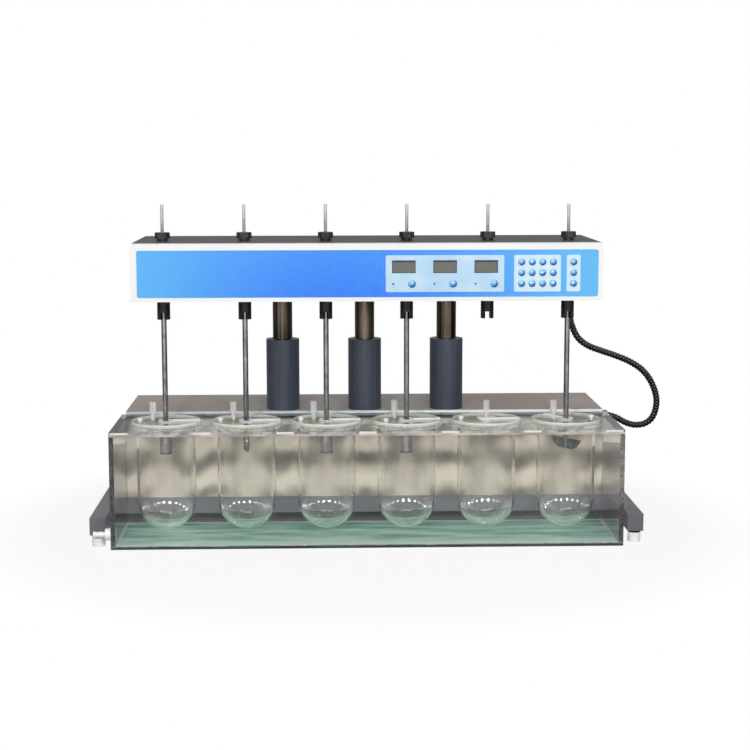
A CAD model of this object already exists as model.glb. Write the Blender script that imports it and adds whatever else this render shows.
import math
from bisect import bisect_right

import bmesh
import bpy
from mathutils import Matrix, Vector


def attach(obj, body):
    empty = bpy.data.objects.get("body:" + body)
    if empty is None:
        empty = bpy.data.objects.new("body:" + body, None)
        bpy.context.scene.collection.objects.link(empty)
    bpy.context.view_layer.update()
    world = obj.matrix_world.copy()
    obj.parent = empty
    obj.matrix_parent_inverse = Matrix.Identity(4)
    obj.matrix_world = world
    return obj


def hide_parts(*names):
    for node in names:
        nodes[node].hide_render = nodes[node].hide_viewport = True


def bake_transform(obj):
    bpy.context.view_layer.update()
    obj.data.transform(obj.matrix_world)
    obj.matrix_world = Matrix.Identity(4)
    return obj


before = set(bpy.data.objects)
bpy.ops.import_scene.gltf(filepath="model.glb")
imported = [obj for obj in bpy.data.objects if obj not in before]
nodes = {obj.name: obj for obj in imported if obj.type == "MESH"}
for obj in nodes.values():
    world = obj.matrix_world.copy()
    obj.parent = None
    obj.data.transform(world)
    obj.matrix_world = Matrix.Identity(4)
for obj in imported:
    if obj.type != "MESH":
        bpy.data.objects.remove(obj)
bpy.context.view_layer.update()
scene = bpy.context.scene
scene.view_settings.view_transform = "Standard"
scene.cycles.transparent_max_bounces = 32
scene.cycles.transmission_bounces = 20
scene.cycles.max_bounces = 20
scene.cycles.sample_clamp_indirect = 60

# Places that several pieces share, in metres
PITCH = 0.150
SPINDLE_X = [(i - 2.5) * PITCH for i in range(6)]
SPINDLE_Y = -0.110
PLATE_TOP = 0.216
LID_TOP = 0.222
HEAD_TOP = 0.556


def link(obj):
    scene.collection.objects.link(obj)
    return obj


# Camera, as fitted to the photograph: metres, radians and pixels
CAMERA_AT = (-0.0772848, -3.168824, 0.7300179)
CAMERA_YAW = -0.0305
CAMERA_PITCH = 0.1381
CAMERA_ROLL = -0.0013
FOCAL_PX = 1654.2547
PHOTO_PX = 750
SENSOR_MM = 36.0


def make_camera():
    level = math.cos(CAMERA_PITCH)
    right = Vector((math.cos(CAMERA_YAW), math.sin(CAMERA_YAW), 0))
    forward = Vector((-math.sin(CAMERA_YAW) * level, math.cos(CAMERA_YAW) * level, -math.sin(CAMERA_PITCH)))
    up = right.cross(forward)
    side = math.cos(CAMERA_ROLL) * right + math.sin(CAMERA_ROLL) * up
    top = math.cos(CAMERA_ROLL) * up - math.sin(CAMERA_ROLL) * right
    data = bpy.data.cameras.new("photo_camera")
    data.sensor_width = SENSOR_MM
    data.lens = FOCAL_PX / PHOTO_PX * SENSOR_MM
    data.clip_end = 60.0
    camera = link(bpy.data.objects.new("photo_camera", data))
    turned = Matrix((side, top, -forward)).transposed().to_4x4()
    camera.matrix_world = Matrix.Translation(CAMERA_AT) @ turned
    scene.camera = camera


make_camera()


def make_tube(name, rings, capped):
    """A smooth mesh with a skin over rings of points, each ring joined to the next."""
    bm = bmesh.new()
    loops = [[bm.verts.new(point) for point in ring] for ring in rings]
    for one, two in zip(loops, loops[1:]):
        for k in range(len(one)):
            n = (k + 1) % len(one)
            bm.faces.new((one[k], one[n], two[n], two[k]))
    if capped:
        bm.faces.new(loops[0])
        bm.faces.new(loops[-1])
    bmesh.ops.recalc_face_normals(bm, faces=bm.faces)
    mesh = bpy.data.meshes.new(name)
    bm.to_mesh(mesh)
    bm.free()
    mesh.shade_smooth()
    return link(bpy.data.objects.new(name, mesh))


# Ribbed conduit: the route of the part's own conduit, in metres
ROUTE = [
    Vector(p) / 1000
    for p in (
        (386, -56, 452), (386, -56, 438), (387, -56, 415), (392, -55, 391),
        (404, -53, 367), (424, -48, 351), (451, -42, 340), (479, -37, 330),
        (507, -31, 318), (533, -25, 301), (552, -19, 278), (564, -13, 250),
        (566, -8, 226), (560, -3, 204), (547, 3, 191), (529, 9, 187),
        (511, 14, 191), (494, 17, 200), (478, 18, 205), (462, 18, 205),
    )
]
# Steps from one point of the route to the next
ROUTE_STEPS = 24
CONDUIT_D = 0.013
CONDUIT_SIDES = 20
RIBS = 72
RIB_CUTS = 8
RIB_DEPTH = 0.0013
# Where a rib's crest lies along its turn, and its form: below 1 it is broader than the groove
CREST_AT = 0.3
CREST_FORM = 0.55
# Square to the plane in which the conduit mostly lies
CONDUIT_NORMAL = Vector((0.26, -0.97, 0)).normalized()
# How far to each side the conduit's heading is taken
HEADING_REACH = 0.001


def route_at(t):
    """Point on a smooth curve through the route; t counts its points."""
    last = len(ROUTE) - 1
    k = min(int(t), last - 1)
    s = t - k
    a, b = ROUTE[max(k - 1, 0)], ROUTE[k]
    c, d = ROUTE[k + 1], ROUTE[min(k + 2, last)]
    return (
        b
        + s * (c - a) / 2
        + s * s * (a - 2.5 * b + 2 * c - 0.5 * d)
        + s * s * s * (1.5 * (b - c) + 0.5 * (d - a))
    )


def walk_route():
    """Close points along the route, and the length up to each of them."""
    points = [route_at(j / ROUTE_STEPS) for j in range((len(ROUTE) - 1) * ROUTE_STEPS + 1)]
    lengths = [0.0]
    for p, q in zip(points, points[1:]):
        lengths.append(lengths[-1] + (q - p).length)
    return points, lengths


route_points, route_lengths = walk_route()
conduit_length = route_lengths[-1]


def along(s):
    """Point at the length s from the conduit's upper end."""
    s = min(max(s, 0.0), conduit_length)
    hi = min(bisect_right(route_lengths, s), len(route_lengths) - 1)
    lo = hi - 1
    w = (s - route_lengths[lo]) / (route_lengths[hi] - route_lengths[lo])
    return route_points[lo].lerp(route_points[hi], w)


def rib_radius(turn):
    """Radius over one rib: a broad round crest and a narrower groove."""
    crest = 0.5 + 0.5 * math.cos(2 * math.pi * (turn - CREST_AT))
    return CONDUIT_D / 2 - RIB_DEPTH * (1 - crest ** CREST_FORM)


def conduit_ring(s, r):
    centre = along(s)
    heading = (along(s + HEADING_REACH) - along(s - HEADING_REACH)).normalized()
    u = heading.cross(CONDUIT_NORMAL).normalized()
    v = heading.cross(u)
    angles = (2 * math.pi * k / CONDUIT_SIDES for k in range(CONDUIT_SIDES))
    return [centre + r * (math.cos(a) * u + math.sin(a) * v) for a in angles]


def make_conduit():
    total = RIBS * RIB_CUTS
    rings = [
        conduit_ring(conduit_length * j / total, rib_radius((j % RIB_CUTS) / RIB_CUTS))
        for j in range(total + 1)
    ]
    return make_tube("ribbed_conduit", rings, capped=True)


conduit = make_conduit()
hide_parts("flex_conduit")
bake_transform(conduit)

# Materials
WHITE = (1, 1, 1, 1)
# Most of a noise lies between these
NOISE_LOW = 0.3
NOISE_HIGH = 0.7
ACRYLIC_IOR = 1.49
GLASS_IOR = 1.47
STRAIGHT_IOR = 1.0


def rgb(r, g, b):
    """A colour as it shows on screen, 0 to 255, turned to the shader's scale."""
    def one(c):
        c /= 255
        return c / 12.92 if c <= 0.04045 else ((c + 0.055) / 1.055) ** 2.4
    return (one(r), one(g), one(b), 1.0)


class Nodes:
    """An empty shader tree, with short ways to add and join its nodes."""

    def __init__(self, tree):
        self.tree = tree
        tree.nodes.clear()

    def node(self, kind, **values):
        n = self.tree.nodes.new(kind)
        for key, value in values.items():
            setattr(n, key, value)
        return n

    def join(self, a, b):
        self.tree.links.new(a, b)

    def give(self, socket, value):
        if isinstance(value, bpy.types.NodeSocket):
            self.join(value, socket)
        else:
            socket.default_value = value

    def axes(self, vector):
        n = self.node("ShaderNodeSeparateXYZ")
        self.join(vector, n.inputs[0])
        return n.outputs

    def math(self, operation, a, b=0.0, clamp=False):
        n = self.node("ShaderNodeMath", operation=operation, use_clamp=clamp)
        self.give(n.inputs[0], a)
        self.give(n.inputs[1], b)
        return n.outputs[0]

    def wave(self, value, period):
        """Cosine that is highest at whole periods."""
        return self.math("COSINE", self.math("MULTIPLY", value, 2 * math.pi / period))

    def span(self, value, low, high, to_low=0.0, to_high=1.0, form="LINEAR"):
        n = self.node("ShaderNodeMapRange", interpolation_type=form)
        self.give(n.inputs["Value"], value)
        n.inputs["From Min"].default_value = low
        n.inputs["From Max"].default_value = high
        n.inputs["To Min"].default_value = to_low
        n.inputs["To Max"].default_value = to_high
        return n.outputs[0]

    def shaders(self, share, one, two):
        """Mix of two shaders; share is the second one's."""
        n = self.node("ShaderNodeMixShader")
        self.join(share, n.inputs[0])
        self.join(one, n.inputs[1])
        self.join(two, n.inputs[2])
        return n.outputs[0]


class Look(Nodes):
    """A material of one Principled shader, with helpers that add texture nodes to it."""

    NAMES = {"ior": "IOR", "coat_ior": "Coat IOR", "specular_ior_level": "Specular IOR Level"}

    def __init__(self, name, color, **sockets):
        self.mat = bpy.data.materials.new(name)
        self.mat.use_nodes = True
        super().__init__(self.mat.node_tree)
        self.surface = self.node("ShaderNodeOutputMaterial").inputs["Surface"]
        self.bsdf = self.node("ShaderNodeBsdfPrincipled")
        self.shader = self.bsdf.outputs[0]
        self.join(self.shader, self.surface)
        self.place = self.node("ShaderNodeTexCoord").outputs["Object"]
        self.bsdf.inputs["Base Color"].default_value = color
        for key, value in sockets.items():
            self.bsdf.inputs[self.NAMES.get(key, key.replace("_", " ").title())].default_value = value

    def moved(self, location=(0, 0, 0), scale=(1, 1, 1)):
        m = self.node("ShaderNodeMapping")
        m.inputs["Location"].default_value = location
        m.inputs["Scale"].default_value = scale
        self.join(self.place, m.inputs["Vector"])
        return m.outputs[0]

    def noise(self, scale, stretch=(1, 1, 1), detail=3.0):
        n = self.node("ShaderNodeTexNoise")
        n.inputs["Scale"].default_value = scale
        n.inputs["Detail"].default_value = detail
        self.join(self.moved(scale=stretch), n.inputs["Vector"])
        return n.outputs["Fac"]

    def streaks(self, stretch, detail=2.0):
        return self.noise(1.0, stretch, detail)

    def spread(self, noise, low, high):
        return self.span(noise, NOISE_LOW, NOISE_HIGH, low, high)

    def ramp(self, value, *stops):
        n = self.node("ShaderNodeValToRGB")
        n.color_ramp.interpolation = "EASE" if len(stops) < 4 else "B_SPLINE"
        row = n.color_ramp.elements
        while len(row) < len(stops):
            row.new(0.5)
        for e, (at, color) in zip(row, stops):
            e.position = at
            e.color = color
        self.give(n.inputs[0], value)
        return n.outputs[0]

    def tones(self, noise, dark, light, low=NOISE_LOW, high=NOISE_HIGH):
        return self.ramp(noise, (low, dark), (high, light))

    def mix(self, share, a, b):
        n = self.node("ShaderNodeMix", data_type="RGBA")
        self.give(n.inputs[0], share)
        self.give(n.inputs[6], a)
        self.give(n.inputs[7], b)
        return n.outputs[2]

    def color(self, socket):
        self.join(socket, self.bsdf.inputs["Base Color"])
        return self

    def rough(self, value, low, high):
        self.join(self.spread(value, low, high), self.bsdf.inputs["Roughness"])
        return self

    def bump(self, height, strength, distance):
        n = self.node("ShaderNodeBump")
        n.inputs["Strength"].default_value = strength
        n.inputs["Distance"].default_value = distance
        self.join(height, n.inputs["Height"])
        self.join(n.outputs[0], self.bsdf.inputs["Normal"])
        return self

    def grain(self, scale, rough, relief, depth, detail=2):
        """Fine grain, in gloss and in height."""
        fine = self.noise(scale, detail=detail)
        self.rough(fine, *rough)
        return self.bump(fine, relief, depth)

    def lets_light(self):
        """Lamps and soft light pass straight through the glass, so what is behind it stays lit."""
        path = self.node("ShaderNodeLightPath").outputs
        clear = self.node("ShaderNodeBsdfTransparent").outputs[0]
        shader = self.shader
        for ray in ("Is Shadow Ray", "Is Diffuse Ray"):
            shader = self.shaders(path[ray], shader, clear)
        self.join(shader, self.surface)
        return self


def paint_look(name, dark, light, patches, rough, grain=700, relief=0.08, specular=0.5):
    """Painted or moulded surface: slow change of tone, fine grain in gloss and height."""
    look = Look(name, light, specular_ior_level=specular)
    look.color(look.tones(look.noise(patches, detail=4), dark, light))
    return look.grain(grain, rough, relief, 0.0002)


slate = paint_look("slate_paint", rgb(100, 99, 105), rgb(118, 117, 123), patches=7, rough=(0.38, 0.5))
cover = paint_look(
    "cover_paint", rgb(34, 32, 33), rgb(46, 44, 44), patches=5, rough=(0.38, 0.5), specular=0.25)
bezel = paint_look(
    "bezel_white", rgb(238, 240, 239), rgb(246, 247, 246), patches=4, rough=(0.28, 0.38),
    grain=500, relief=0.03)
foot_white = paint_look("foot_plastic", rgb(243, 244, 245), rgb(253, 253, 253), patches=30, rough=(0.35, 0.5))
foot_dark = paint_look("foot_neck", rgb(40, 42, 46), rgb(58, 60, 64), patches=40, rough=(0.4, 0.55))
spigot = paint_look("drain_plastic", rgb(240, 240, 236), rgb(250, 250, 248), patches=40, rough=(0.25, 0.38))
black = paint_look("spindle_black", rgb(24, 24, 28), rgb(44, 45, 50), patches=60, rough=(0.2, 0.34))
inlet = paint_look("inlet_black", rgb(20, 20, 21), rgb(34, 34, 35), patches=60, rough=(0.4, 0.55))
chassis = paint_look("chassis_metal", rgb(70, 70, 72), rgb(92, 92, 95), patches=10, rough=(0.35, 0.5))
board = paint_look("board_green", rgb(24, 78, 48), rgb(36, 100, 62), patches=40, rough=(0.4, 0.5))
motor = paint_look("motor_black", rgb(28, 28, 30), rgb(44, 44, 46), patches=30, rough=(0.35, 0.5))
belt = paint_look(
    "belt_rubber", rgb(20, 20, 20), rgb(34, 34, 34), patches=90, rough=(0.6, 0.75), grain=1200, relief=0.2)
gland_grey = paint_look("gland_grey", rgb(104, 102, 104), rgb(132, 130, 131), patches=60, rough=(0.35, 0.5))


def brushed_look(name, dark, light, metal, rough, stretch, patches, specular=0.5):
    """Metal with drawn streaks along one axis, and slow patches of tone."""
    look = Look(name, light, metallic=metal, specular_ior_level=specular)
    streak = look.streaks(stretch, detail=3)
    slow = look.noise(patches, detail=1)
    both = look.math("ADD", look.math("MULTIPLY", streak, 0.55), look.math("MULTIPLY", slow, 0.45))
    look.color(look.tones(both, dark, light, 0.34, 0.66))
    look.rough(streak, *rough)
    return look.bump(streak, 0.05, 0.0002)


sleeve = brushed_look(
    "sleeve_paint", rgb(52, 58, 72), rgb(68, 75, 90),
    metal=0.0, rough=(0.36, 0.5), stretch=(260, 260, 5), patches=7)
column = brushed_look(
    "column_chrome", rgb(40, 34, 28), rgb(138, 126, 110),
    metal=1.0, rough=(0.12, 0.24), stretch=(190, 190, 3), patches=9)
shaft = brushed_look(
    "stirrer_steel", rgb(136, 136, 137), rgb(190, 190, 190),
    metal=1.0, rough=(0.14, 0.24), stretch=(500, 500, 16), patches=60)
rod = brushed_look(
    "top_rod_steel", rgb(228, 228, 230), rgb(250, 250, 250),
    metal=0.4, rough=(0.1, 0.18), stretch=(600, 600, 14), patches=60)
steel = brushed_look(
    "steel", rgb(140, 140, 142), rgb(176, 176, 178),
    metal=1.0, rough=(0.25, 0.4), stretch=(300, 300, 8), patches=20)
pulley = brushed_look(
    "pulley_metal", rgb(150, 151, 154), rgb(180, 181, 184),
    metal=1.0, rough=(0.28, 0.4), stretch=(60, 60, 400), patches=20)
cabinet_top = brushed_look(
    "cabinet_top_steel", rgb(172, 163, 157), rgb(196, 186, 179),
    metal=0.05, rough=(0.5, 0.6), stretch=(3, 420, 420), patches=5, specular=0.1)
# The sides and the back of the cabinet are alike; the streaks run along each one's length
cabinet_side, cabinet_back = (
    brushed_look(
        name, rgb(142, 135, 129), rgb(172, 164, 157),
        metal=0.3, rough=(0.36, 0.48), stretch=stretch, patches=5)
    for name, stretch in (("cabinet_side_steel", (420, 3, 420)), ("cabinet_back_steel", (3, 420, 420)))
)

# Patches on the cabinet's front: how far they lie apart, and the height of a light row
PATCH_PITCH = PITCH / 0.967
PATCH_ROW_Z = 0.156
PATCH_ROW_PITCH = 0.068
# Behind the vessels it turns lighter from the first of these heights down to the second
BEHIND_HIGH = 0.190
BEHIND_LOW = 0.105
# To the left it turns a little lighter between these places
LEFT_FROM = -0.08
LEFT_TO = -0.24
# Heights between which the front turns to a pale strip, and then to its rim
STRIP_LOW = 0.176
STRIP_HIGH = 0.190
RIM_LOW = 0.2140
RIM_HIGH = 0.2160
# Places between which the rim turns from grey to white
RIM_GREY_X = -0.1
RIM_WHITE_X = 0.25


def cabinet_front_look():
    """Brushed steel behind the bath, with soft beige and grey patches that follow the row of vessels."""
    look = Look("cabinet_front_steel", rgb(190, 180, 164), metallic=0.1)
    x, _, z = look.axes(look.place)
    sway_x = look.spread(look.streaks((9, 7, 24), detail=1), -0.008, 0.008)
    sway_z = look.spread(look.streaks((16, 5, 12), detail=1), -0.011, 0.011)
    between = look.span(look.wave(look.math("ADD", x, sway_x), PATCH_PITCH), -1, 1)
    height = look.math("ADD", z, sway_z)
    rows = look.wave(look.math("SUBTRACT", height, PATCH_ROW_Z), PATCH_ROW_PITCH)
    beside = look.math("MULTIPLY", between, look.span(rows, -1, 1, 0.15, 1.0))
    low = look.span(height, BEHIND_HIGH, BEHIND_LOW, 0.2, 0.8)
    behind = look.math("MULTIPLY", look.math("SUBTRACT", 1.0, between), low)
    patch = look.spread(look.streaks((26, 5, 12)), -0.18, 0.18)
    left = look.span(x, LEFT_FROM, LEFT_TO, 0.0, 0.08)
    light = look.math("ADD", look.math("ADD", beside, behind), look.math("ADD", patch, left))
    tone = look.ramp(
        light,
        (0.0, rgb(112, 104, 99)), (0.25, rgb(146, 136, 126)), (0.5, rgb(188, 174, 160)),
        (0.75, rgb(224, 208, 191)), (1.0, rgb(244, 231, 216)),
    )
    strip = look.span(z, STRIP_LOW, STRIP_HIGH, 0.0, 0.7)
    rim = look.mix(look.span(x, RIM_GREY_X, RIM_WHITE_X), rgb(204, 207, 214), rgb(244, 245, 248))
    upper = look.span(z, RIM_LOW, RIM_HIGH)
    plain = look.mix(upper, look.mix(strip, tone, rgb(240, 234, 216)), rim)
    streak = look.streaks((420, 420, 3))
    look.color(look.mix(look.math("MULTIPLY", streak, 0.12), plain, rgb(130, 124, 116)))
    look.rough(streak, 0.36, 0.48)
    return look.bump(streak, 0.04, 0.0002)


cabinet_front = cabinet_front_look()

# Panel: the ends of the overlay, and the heights between which it turns lighter
OVERLAY_LEFT = -0.4125
OVERLAY_RIGHT = 0.4155
OVERLAY_DEEP_Z = 0.47
OVERLAY_LIGHT_Z = 0.545
# The plates to the right of this are paler: the keypad's and the side keys'
PALER_X = 0.262
# Display windows: the left end of the first one's share of the row
WINDOWS_LEFT = 0.028
WINDOW_PITCH = 0.074
# Where a window's dark edges begin: distance from its middle, and heights
EDGE_SIDE = 0.0192
EDGE_LOW = 0.5042
EDGE_HIGH = 0.5212
CELL = 0.0011
# How far forward a key's crown and its rim lie
KEY_CROWN_Y = -0.2135
KEY_RIM_Y = -0.2104


def overlay_look():
    """Printed film: cyan at both ends, deeper blue in the middle, a little lighter at the top."""
    look = Look("overlay_blue", rgb(80, 152, 253), specular_ior_level=0.3)
    x, _, z = look.axes(look.place)
    tone = look.ramp(
        look.span(x, OVERLAY_LEFT, OVERLAY_RIGHT),
        (0.0, rgb(94, 186, 246)), (0.16, rgb(76, 156, 248)), (0.32, rgb(56, 134, 248)),
        (0.46, rgb(48, 126, 248)), (0.62, rgb(60, 140, 247)), (0.82, rgb(84, 168, 246)),
        (1.0, rgb(104, 194, 246)),
    )
    light = look.mix(look.span(z, OVERLAY_DEEP_Z, OVERLAY_LIGHT_Z, 0.0, 0.26), tone, rgb(98, 182, 250))
    fine = look.noise(260, detail=2)
    look.color(look.mix(look.span(fine, 0.35, 0.65, 0.0, 0.06), light, rgb(150, 205, 252)))
    look.rough(fine, 0.3, 0.4)
    return look.bump(fine, 0.02, 0.0001)


def plate_look():
    """Pale blue printed plate with a slow, slightly cloudy tone; the key plates are paler."""
    look = Look("plate_blue", rgb(186, 219, 242), coat_weight=0.3, coat_roughness=0.18)
    tone = look.tones(look.noise(16, detail=3), rgb(176, 214, 242), rgb(204, 230, 244))
    x = look.axes(look.place)[0]
    paler = look.span(x, PALER_X, PALER_X + 0.006, 0.0, 0.6)
    look.color(look.mix(paler, tone, rgb(222, 243, 252)))
    return look.grain(420, (0.26, 0.36), 0.02, 0.0001)


def display_look():
    """Unlit liquid crystal: grey brown, with faint lines of cells and dark edges all round."""
    look = Look("display_grey", rgb(122, 119, 110), coat_weight=0.3, coat_roughness=0.08)
    x, _, z = look.axes(look.place)
    line_x, line_z = (look.math("SINE", look.math("MULTIPLY", way, 2 * math.pi / CELL)) for way in (x, z))
    cell = look.span(look.math("MAXIMUM", line_x, line_z), 0.8, 1.0, 0.0, 0.1)
    from_left = look.math("FLOORED_MODULO", look.math("SUBTRACT", x, WINDOWS_LEFT), WINDOW_PITCH)
    across = look.math("ABSOLUTE", look.math("SUBTRACT", from_left, WINDOW_PITCH / 2))
    side = look.span(across, EDGE_SIDE, EDGE_SIDE + 0.0012)
    upper = look.span(z, EDGE_HIGH, EDGE_HIGH + 0.0014)
    lower = look.span(z, EDGE_LOW, EDGE_LOW - 0.0008)
    edge = look.math("MAXIMUM", side, look.math("MAXIMUM", upper, lower))
    base = look.mix(edge, rgb(106, 105, 98), rgb(28, 40, 72))
    cloud = look.mix(look.spread(look.noise(70, detail=2), 0.0, 0.25), base, rgb(104, 104, 102))
    look.color(look.mix(cell, cloud, rgb(92, 90, 84)))
    return look.rough(look.noise(300), 0.2, 0.3)


def key_look():
    """Glossy dome key: deeper blue towards its rim and lower right, pale at its upper left."""
    look = Look("key_blue", rgb(70, 148, 226), coat_weight=0.8, coat_roughness=0.06)
    dome = look.span(look.axes(look.place)[1], KEY_CROWN_Y, KEY_RIM_Y)
    tone = look.ramp(dome, (0.0, rgb(112, 184, 246)), (0.45, rgb(84, 160, 236)), (1.0, rgb(46, 112, 190)))
    way = look.axes(look.node("ShaderNodeTexCoord").outputs["Normal"])
    lean = look.math("SUBTRACT", way[2], look.math("MULTIPLY", way[0], 0.7))
    shaded = look.mix(look.span(lean, 0.0, -0.45, 0.0, 0.75), tone, rgb(22, 82, 164))
    look.color(look.mix(look.span(lean, 0.05, 0.5, 0.0, 0.7), shaded, rgb(176, 226, 252)))
    return look.grain(500, (0.18, 0.26), 0.02, 0.0001, detail=3)


def lamp_look():
    """Small dark indicator lamp, unlit."""
    look = Look("lamp_dark", rgb(36, 58, 96), coat_weight=0.8, coat_roughness=0.1)
    look.color(look.tones(look.noise(900), rgb(30, 48, 84), rgb(48, 74, 118)))
    return look.rough(look.noise(300), 0.2, 0.3)


overlay = overlay_look()
plate_blue = plate_look()
display = display_look()
key_blue = key_look()
lamp = lamp_look()


def clear_look(name, tint, other, ior, wave=9.0, relief=0.03, **sockets):
    """Clear glass or acrylic with a faint change of tint and a slight waviness."""
    look = Look(name, tint, **{"transmission_weight": 1.0, "ior": ior, "roughness": 0.0, **sockets})
    look.color(look.tones(look.noise(wave), tint, other, 0.35, 0.65))
    look.bump(look.noise(wave * 2.2, detail=1), relief, 0.0008)
    return look.lets_light()


CLEAR = (rgb(254, 254, 254), rgb(252, 253, 252))
acrylic = clear_look("bath_acrylic", *CLEAR, ACRYLIC_IOR)
glass = clear_look("vessel_glass", *CLEAR, GLASS_IOR, wave=14, relief=0.02)
bowl_glass = clear_look(
    "bowl_glass", *CLEAR, GLASS_IOR, wave=14, relief=0.01, coat_weight=1.0, coat_roughness=0.04, coat_ior=1.6)
knob_clear = clear_look(
    "lid_knob", rgb(250, 247, 247), rgb(244, 242, 242), ACRYLIC_IOR, wave=60, relief=0.05,
    transmission_weight=0.66)
# Flat sheet that lies on other glass: light goes straight through it, and only its coat shines
FLAT_SHINE = {"coat_weight": 0.6, "coat_roughness": 0.02, "coat_ior": ACRYLIC_IOR}
lid_clear = clear_look(
    "lid_acrylic", rgb(222, 221, 219), rgb(208, 207, 205), STRAIGHT_IOR, wave=20, relief=0.02, **FLAT_SHINE)
# Faces that touch other glass are all but invisible
contact = clear_look(
    "contact_face", rgb(250, 252, 246), rgb(244, 247, 238), STRAIGHT_IOR, wave=20, relief=0.02, alpha=0.04)

# Where the ends of the vessel plate begin to turn grey, and over what length
PLATE_END_X = 0.428
PLATE_END_FADE = 0.017


def plate_flat_look():
    """Flat faces of the vessel plate: clear, and greyer at both ends, where its edges mirror each other."""
    look = clear_look("plate_acrylic", *CLEAR, STRAIGHT_IOR, **FLAT_SHINE)
    clear = look.bsdf.inputs["Base Color"].links[0].from_socket
    x = look.axes(look.place)[0]
    left = look.span(x, -PLATE_END_X, -PLATE_END_X - PLATE_END_FADE)
    right = look.span(x, PLATE_END_X, PLATE_END_X + PLATE_END_FADE)
    return look.color(look.mix(right, look.mix(left, clear, rgb(150, 148, 152)), rgb(222, 221, 223)))


plate_flat = plate_flat_look()


def frosted_look(name, one, two, through, rough):
    """Cut and polished edge of clear sheet: it scatters light and looks pale."""
    look = Look(name, one, transmission_weight=through, ior=ACRYLIC_IOR)
    look.color(look.tones(look.noise(120), one, two))
    return look.grain(900, rough, 0.15, 0.0003)


flange_rim = frosted_look("flange_rim", rgb(208, 210, 186), rgb(236, 236, 220), 0.8, rough=(0.08, 0.2))
plate_cut = frosted_look("plate_cut_edge", rgb(226, 230, 232), rgb(246, 248, 248), 0.5, rough=(0.25, 0.4))
tank_cut = frosted_look("tank_cut_edge", rgb(150, 152, 156), rgb(188, 190, 193), 0.0, rough=(0.2, 0.35))
tank_seam = frosted_look("tank_seam", rgb(58, 56, 62), rgb(98, 95, 102), 0.35, rough=(0.15, 0.35))

# Between these heights the right end of the tank's front turns from grey to pale
CORNER_GREY_Z = 0.070
CORNER_PALE_Z = 0.088


def tank_corner_look():
    """Right end of the tank's front: pale where the cabinet shows through it, grey lower down."""
    look = Look("tank_seam_pale", rgb(150, 144, 138), transmission_weight=0.5, ior=ACRYLIC_IOR)
    cloud = look.noise(120)
    upper = look.tones(cloud, rgb(118, 112, 108), rgb(180, 172, 163))
    lower = look.tones(cloud, rgb(64, 63, 70), rgb(108, 106, 113))
    z = look.axes(look.place)[2]
    look.color(look.mix(look.span(z, CORNER_GREY_Z, CORNER_PALE_Z), lower, upper))
    return look.grain(900, (0.15, 0.35), 0.15, 0.0003)


tank_corner = tank_corner_look()

# Front edge of the vessel plate: half the length of a rubbed dash, and its lower end
DASH_HALF = 0.0150
DASH_LOW = 0.2118


def plate_front_look():
    """Front edge of the vessel plate: pale and matt, with white rubbed dashes between the vessels."""
    look = Look("plate_front_edge", rgb(248, 251, 250), ior=ACRYLIC_IOR, transmission_weight=0.3)
    x, _, z = look.axes(look.place)
    near = look.span(look.math("PINGPONG", x, PITCH / 2), DASH_HALF, DASH_HALF + 0.0015, 1.0, 0.0)
    high = look.span(z, DASH_LOW, DASH_LOW + 0.0008)
    rubbed = look.math("MULTIPLY", near, high, clamp=True)
    low = look.tones(look.streaks((30, 30, 6), detail=3), rgb(168, 158, 146), rgb(226, 215, 198))
    line = look.tones(look.streaks((60, 30, 6), detail=3), rgb(128, 124, 138), rgb(212, 210, 220))
    look.color(look.mix(rubbed, look.mix(high, low, line), WHITE))
    return look.rough(look.noise(300), 0.4, 0.55)


plate_front = plate_front_look()

# Heights between which a lid's cut edge turns to its bright line
LID_LINE_LOW = PLATE_TOP + 0.0030
LID_LINE_HIGH = PLATE_TOP + 0.0042


def lid_edge_look(name, low, through):
    """Cut edge of a lid: a bright line along its top, duller below."""
    look = Look(name, rgb(250, 250, 248), transmission_weight=through, ior=ACRYLIC_IOR)
    z = look.axes(look.place)[2]
    dull = look.mix(look.spread(look.noise(120), 0.0, 1.0), low, rgb(228, 228, 218))
    look.color(look.mix(look.span(z, LID_LINE_LOW, LID_LINE_HIGH), dull, WHITE))
    return look.rough(look.noise(900, detail=2), 0.2, 0.35)


lid_rim = lid_edge_look("lid_rim", rgb(210, 210, 196), 0.2)
lid_cut = lid_edge_look("lid_cut_edge", rgb(206, 205, 204), 0.1)

# Bath floor: where it turns brighter towards the front, and the pale lines near its side and back walls
FLOOR_BRIGHT_FROM = -0.150
FLOOR_BRIGHT_TO = -0.190
SIDE_SEAM_X = 0.4575
BACK_SEAM_Y = -0.0235
SEAM_FADE = 0.0015


def bath_floor_look():
    """Green tint of the thick bath floor over the bench, brighter near its front and along its seams."""
    look = Look("bath_floor_green", rgb(112, 158, 140), coat_weight=0.5, coat_roughness=0.05, ior=ACRYLIC_IOR)
    x, y, _ = look.axes(look.place)
    deep = look.tones(look.streaks((7, 36, 9), detail=4), rgb(122, 192, 166), rgb(204, 250, 230), 0.34, 0.66)
    front = look.span(y, FLOOR_BRIGHT_FROM, FLOOR_BRIGHT_TO)
    tone = look.mix(look.math("MULTIPLY", front, 0.95), deep, rgb(222, 255, 242))
    side = look.span(look.math("ABSOLUTE", x), SIDE_SEAM_X, SIDE_SEAM_X + SEAM_FADE)
    seam = look.math("MAXIMUM", side, look.span(y, BACK_SEAM_Y, BACK_SEAM_Y + SEAM_FADE))
    look.color(look.mix(look.math("MULTIPLY", seam, 0.85), tone, rgb(248, 252, 250)))
    return look.rough(look.noise(60), 0.1, 0.2)


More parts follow.
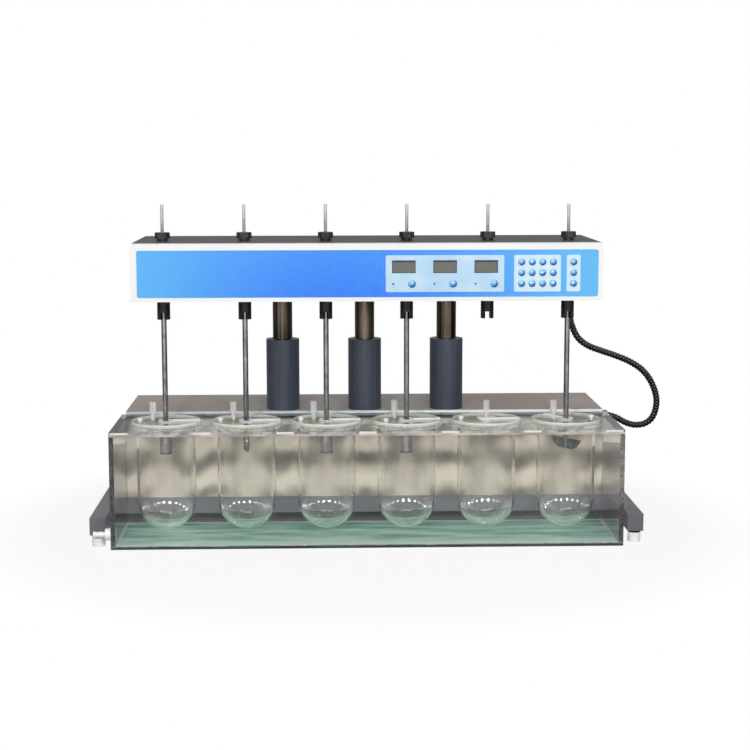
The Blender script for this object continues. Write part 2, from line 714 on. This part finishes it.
def bath_floor_edge_look():
    """Dark green edge of the bath floor, drawn out along its length."""
    look = Look("bath_floor_edge", rgb(74, 86, 82), coat_weight=0.5, coat_roughness=0.1, ior=ACRYLIC_IOR)
    look.color(look.tones(look.noise(40, (0.4, 1, 3)), rgb(44, 56, 53), rgb(70, 84, 79)))
    return look.rough(look.noise(200), 0.15, 0.3)


bath_floor = bath_floor_look()
bath_floor_edge = bath_floor_edge_look()

# Number of upright wires round a basket, and the distance between level ones
WIRES_ROUND = 72
WIRE_PITCH = 0.0012


def screen_look(name, x0):
    """Woven wire screen round a basket: wires in two directions, dark between them."""
    look = Look(name, rgb(110, 110, 110), metallic=0.9)
    x, y, z = look.axes(look.moved(location=(-x0, -SPINDLE_Y, 0)))
    upright = look.math("MULTIPLY", look.math("ARCTAN2", y, x), WIRES_ROUND / 2)
    level = look.math("MULTIPLY", z, math.pi / WIRE_PITCH)
    wire_a, wire_b = (
        look.math("POWER", look.math("ABSOLUTE", look.math("SINE", turn)), 2.0) for turn in (upright, level))
    wire = look.math("MAXIMUM", wire_a, wire_b)
    look.color(look.tones(wire, rgb(30, 30, 29), rgb(152, 150, 145), 0.35, 0.9))
    look.rough(wire, 0.3, 0.5)
    return look.bump(wire, 0.6, 0.0004)


def conduit_look():
    """Black corrugated plastic with a soft gloss on its ribs."""
    look = Look("conduit_black", rgb(20, 20, 21))
    look.color(look.tones(look.noise(60), rgb(9, 9, 10), rgb(20, 20, 22)))
    return look.grain(500, (0.28, 0.42), 0.08, 0.0002)


conduit_black = conduit_look()
conduit.data.materials.append(conduit_black.mat)

# Places that tell one face of a node from another, and the room left beside them
TINY = 0.0001
NEAR = 0.0005
FOOT_PAD_TOP = 0.018
TANK_FLOOR_TOP = 0.005
TANK_INNER_X = 0.461
PLATE_FRONT_Y = -0.215
PLATE_BACK_Y = -0.005
BOWL_TOP = 0.0705
FLANGE_BOTTOM = 0.213
LID_R = 0.064
LID_HOLE_R = 0.014
NUT_TOP = HEAD_TOP + 0.0155
# Farther out than this from its middle, a vessel has only its flange
BEYOND_WALL_R = 0.060
# A lid's knob lies within this distance of its middle, and its port beyond it
KNOB_WITHIN_R = 0.040
# The small lamps lie below this height, and the display windows above it
LAMPS_BELOW_Z = 0.49
# Heights between a basket's two solid ends
SCREEN_LOW = 0.1622
SCREEN_HIGH = 0.1928
# A face looks along an axis when its normal has more than this on it
FACING = 0.5
# Positions that have a basket
BASKETS = (1, 3, 4)


def is_flat(n):
    return abs(n.z) > FACING


def is_upright(n):
    return abs(n.z) < FACING


def paint(name, *looks, pick=None):
    """Gives a node its looks; pick says which one a face takes, from its middle and its normal."""
    mesh = nodes[name].data
    mesh.materials.clear()
    for look in looks:
        mesh.materials.append(look.mat)
    for face in mesh.polygons:
        taken = pick(face.center, face.normal) if pick else looks[0]
        face.material_index = looks.index(taken)


def foot_face(c, n):
    return foot_dark if c.z > FOOT_PAD_TOP - TINY else foot_white


def cabinet_face(c, n):
    if n.z > FACING:
        return cabinet_top
    if n.y < -FACING:
        return cabinet_front
    return cabinet_back if n.y > FACING else cabinet_side


def tank_face(c, n):
    if c.z < TANK_FLOOR_TOP + TINY:
        return bath_floor if n.z > FACING else bath_floor_edge
    if abs(n.y) > FACING and abs(c.x) > TANK_INNER_X - NEAR:
        return tank_seam if c.x < 0 else tank_corner
    return tank_cut if n.z > FACING else acrylic


def plate_face(c, n):
    if is_flat(n):
        return plate_flat
    if PLATE_FRONT_Y + TINY < c.y < PLATE_BACK_Y - TINY:
        return acrylic
    return plate_front if n.y < -FACING else plate_cut


def vessel_face(c, n):
    if c.z < BOWL_TOP + TINY:
        return bowl_glass
    if c.z > FLANGE_BOTTOM - NEAR and is_flat(n):
        return contact
    out = min(math.hypot(c.x - x, c.y - SPINDLE_Y) for x in SPINDLE_X)
    on_rim = c.z > FLANGE_BOTTOM + TINY and is_upright(n) and out > BEYOND_WALL_R
    return flange_rim if on_rim else glass


def lid_face(x0):
    """Picks the look of a face of the lid whose middle is at x0."""
    def pick(c, n):
        x = c.x - x0
        y = c.y - SPINDLE_Y
        r = math.hypot(x, y)
        if n.z < -FACING and c.z < PLATE_TOP + NEAR:
            return contact
        if is_upright(n) and c.z < LID_TOP + TINY:
            if r > LID_R - 2 * NEAR:
                return lid_rim
            on_slot = abs(n.x * y - n.y * x) > FACING * r
            if r < LID_HOLE_R + NEAR or on_slot:
                return lid_cut
        if c.z < LID_TOP + NEAR:
            return lid_clear
        return lid_cut if r > KNOB_WITHIN_R else knob_clear
    return pick


def window_face(c, n):
    return lamp if c.z < LAMPS_BELOW_Z else display


def spindle_face(c, n):
    return rod if c.z > NUT_TOP + TINY else black


def basket_face(screen):
    """Picks the woven screen between a basket's ends."""
    def pick(c, n):
        return screen if SCREEN_LOW < c.z < SCREEN_HIGH and is_upright(n) else shaft
    return pick


plain_looks = {
    "base_frame": slate,
    "column_sleeves": sleeve,
    "drain_spigot": spigot,
    "head_chassis": chassis,
    "head_cover": cover,
    "head_bezel": bezel,
    "front_overlay": overlay,
    "control_plates": plate_blue,
    "control_board": board,
    "lift_columns": column,
    "lift_actuator": steel,
    "lift_rod": rod,
    "spindle_bearings": steel,
    "drive_motor": motor,
    "motor_pulley": pulley,
    "timing_belt": belt,
    "power_inlet": inlet,
    "flex_conduit": conduit_black,
    "paddle_shaft_2": shaft,
    "paddle_shaft_6": shaft,
}
for name, look in plain_looks.items():
    paint(name, look)
for name in nodes:
    if "_key_" in name:
        paint(name, key_blue)
paint("levelling_feet", foot_white, foot_dark, pick=foot_face)
paint("base_cabinet", cabinet_front, cabinet_top, cabinet_side, cabinet_back, pick=cabinet_face)
paint("bath_tank", acrylic, bath_floor, bath_floor_edge, tank_cut, tank_seam, tank_corner, pick=tank_face)
paint("vessel_plate", acrylic, plate_front, plate_cut, plate_flat, pick=plate_face)
paint("vessels", glass, flange_rim, bowl_glass, contact, pick=vessel_face)
paint("display_windows", display, lamp, pick=window_face)
for i, x in enumerate(SPINDLE_X, start=1):
    paint(f"vessel_lid_{i}", lid_clear, lid_rim, lid_cut, knob_clear, contact, pick=lid_face(x))
    paint(f"spindle_{i}", black, rod, pick=spindle_face)
for i in BASKETS:
    screen = screen_look(f"basket_screen_{i}", SPINDLE_X[i - 1])
    paint(f"basket_shaft_{i}", shaft, screen, pick=basket_face(screen))

# Grey gland where the conduit goes into the cabinet's side: radius and distance from the wall
GLAND_AT = (0.4622, 0.018, 0.205)
GLAND_PROFILE = (
    (0.0072, 0.0), (0.0115, 0.0), (0.0118, 0.0006), (0.0118, 0.0034), (0.0112, 0.0040), (0.0102, 0.0042),
    (0.0104, 0.0050), (0.0104, 0.0105), (0.0097, 0.0122), (0.0084, 0.0132), (0.0072, 0.0134),
)
GLAND_SIDES = 36
# Every third row of points along the nut is drawn in, for grip
GRIP_EVERY = 3
GRIP_DEPTH = 0.0004
GRIP_FROM = 0.0050
GRIP_TO = 0.0105


def gland_ring(r, out):
    x, y, z = GLAND_AT
    ring = []
    for k in range(GLAND_SIDES):
        a = 2 * math.pi * k / GLAND_SIDES
        gripped = k % GRIP_EVERY == 0 and GRIP_FROM <= out <= GRIP_TO
        q = r - GRIP_DEPTH if gripped else r
        ring.append((x + out, y + q * math.cos(a), z + q * math.sin(a)))
    return ring


def make_gland():
    obj = make_tube("conduit_gland", [gland_ring(r, out) for r, out in GLAND_PROFILE], capped=False)
    obj.data.materials.append(gland_grey.mat)
    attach(obj, "base")


make_gland()

# Floor, background and light, in metres and watts
FLOOR_R = 1.5
FLOOR_MID_Y = -0.5
FLOOR_Z = -0.0006
FLOOR_SIDES = 96
FLOOR_GREY = (0.55, 0.55, 0.55, 1)
FLOOR_IN_GLASS = (0.18, 0.18, 0.185, 1)
# The camera sees the floor turn to plain white between these distances
SHADOW_R = 0.62
PLAIN_R = 0.78


def make_floor():
    """Round pale floor, which keeps a faint shadow. Away from the part the camera sees it plain white."""
    mesh = bpy.data.meshes.new("studio_floor")
    angles = [2 * math.pi * k / FLOOR_SIDES for k in range(FLOOR_SIDES)]
    ring = [(FLOOR_R * math.cos(a), FLOOR_MID_Y + FLOOR_R * math.sin(a), FLOOR_Z) for a in angles]
    mesh.from_pydata(ring, [], [tuple(range(FLOOR_SIDES))])
    floor = link(bpy.data.objects.new("studio_floor", mesh))
    look = Look("studio_floor", FLOOR_GREY, roughness=0.9)
    path = look.node("ShaderNodeLightPath").outputs
    in_glass = look.math("MAXIMUM", path["Is Glossy Ray"], path["Is Transmission Ray"])
    look.color(look.mix(in_glass, FLOOR_GREY, FLOOR_IN_GLASS))
    x, y, _ = look.axes(look.place)
    away = look.math("SQRT", look.math("ADD", look.math("POWER", x, 2.0), look.math("POWER", y, 2.0)))
    share = look.math("MULTIPLY", path["Is Camera Ray"], look.span(away, SHADOW_R, PLAIN_R, 0.9, 1.0))
    glow = look.node("ShaderNodeEmission").outputs[0]
    look.join(look.shaders(share, look.shader, glow), look.surface)
    mesh.materials.append(look.mat)


def make_world():
    """White to the camera, and pale grey through glass.

    Mirrored, it is dim just above the horizon, brighter overhead and behind, brightest low in front.
    """
    world = bpy.data.worlds.new("studio")
    scene.world = world
    world.use_nodes = True
    sky = Nodes(world.node_tree)

    def background(strength, color=WHITE):
        n = sky.node("ShaderNodeBackground")
        n.inputs["Color"].default_value = color
        sky.give(n.inputs["Strength"], strength)
        return n.outputs[0]

    path = sky.node("ShaderNodeLightPath").outputs
    _, y, z = sky.axes(sky.node("ShaderNodeTexCoord").outputs["Generated"])
    upwards = sky.span(z, 0.05, 0.75, 0.10, 0.9)
    below = sky.span(z, -0.03, 0.03, 1.0, 0.0)
    ahead = sky.span(y, -0.92, -0.35, 1.0, 0.12, "SMOOTHSTEP")
    behind = sky.span(y, 0.3, 0.9, 0.0, 0.34)
    front = sky.math("MULTIPLY", below, ahead)
    mirrored = sky.math("MAXIMUM", sky.math("MAXIMUM", upwards, front), behind)
    soft = background(0.13, (0.985, 0.99, 1, 1))
    light = sky.shaders(path["Is Glossy Ray"], soft, background(mirrored))
    through = sky.shaders(path["Is Transmission Ray"], light, background(0.62))
    whole = sky.shaders(path["Is Camera Ray"], through, background(1.0))
    sky.join(whole, sky.node("ShaderNodeOutputWorld").inputs["Surface"])


def make_lamp(name, at, target, size, power, shape="RECTANGLE"):
    data = bpy.data.lights.new(name, "AREA")
    data.shape = shape
    data.size = size[0]
    if shape == "RECTANGLE":
        data.size_y = size[1]
    data.energy = power
    obj = link(bpy.data.objects.new(name, data))
    obj.location = at
    obj.rotation_euler = (Vector(target) - Vector(at)).to_track_quat("-Z", "Y").to_euler()
    obj.visible_camera = False


# Two key lamps in front and a ring of small lamps give the bright spots on glass and metal
RING_TARGET = (0, -0.1, 0.07)
RING_R = 4
RING_RISE = math.radians(21)
KEY_BEARING = 13
SMALL_BEARINGS = (38, 60, 82, 106, 132)
# Width and power of each kind of lamp
KEY_LAMP = (0.48, 41)
SMALL_LAMP = (0.36, 6.5)


def make_ring():
    bearings = sorted(side * b for b in (KEY_BEARING, *SMALL_BEARINGS) for side in (-1, 1))
    reach = RING_R * math.cos(RING_RISE)
    height = RING_R * math.sin(RING_RISE) + RING_TARGET[2]
    for k, bearing in enumerate(bearings, start=1):
        a = math.radians(bearing)
        at = (reach * math.sin(a), -reach * math.cos(a), height)
        wide, power = KEY_LAMP if abs(bearing) == KEY_BEARING else SMALL_LAMP
        make_lamp(f"ring_light_{k}", at, RING_TARGET, (wide, wide), power, "DISK")


make_floor()
make_world()
make_lamp("top_light", at=(0.0, -1.0, 2.4), target=(0, -0.1, 0.1), size=(2.0, 0.6), power=10)
make_lamp("back_light", at=(0.0, 2.4, 2.6), target=(0, 0.1, 0.3), size=(2.4, 1.2), power=8)
make_ring()
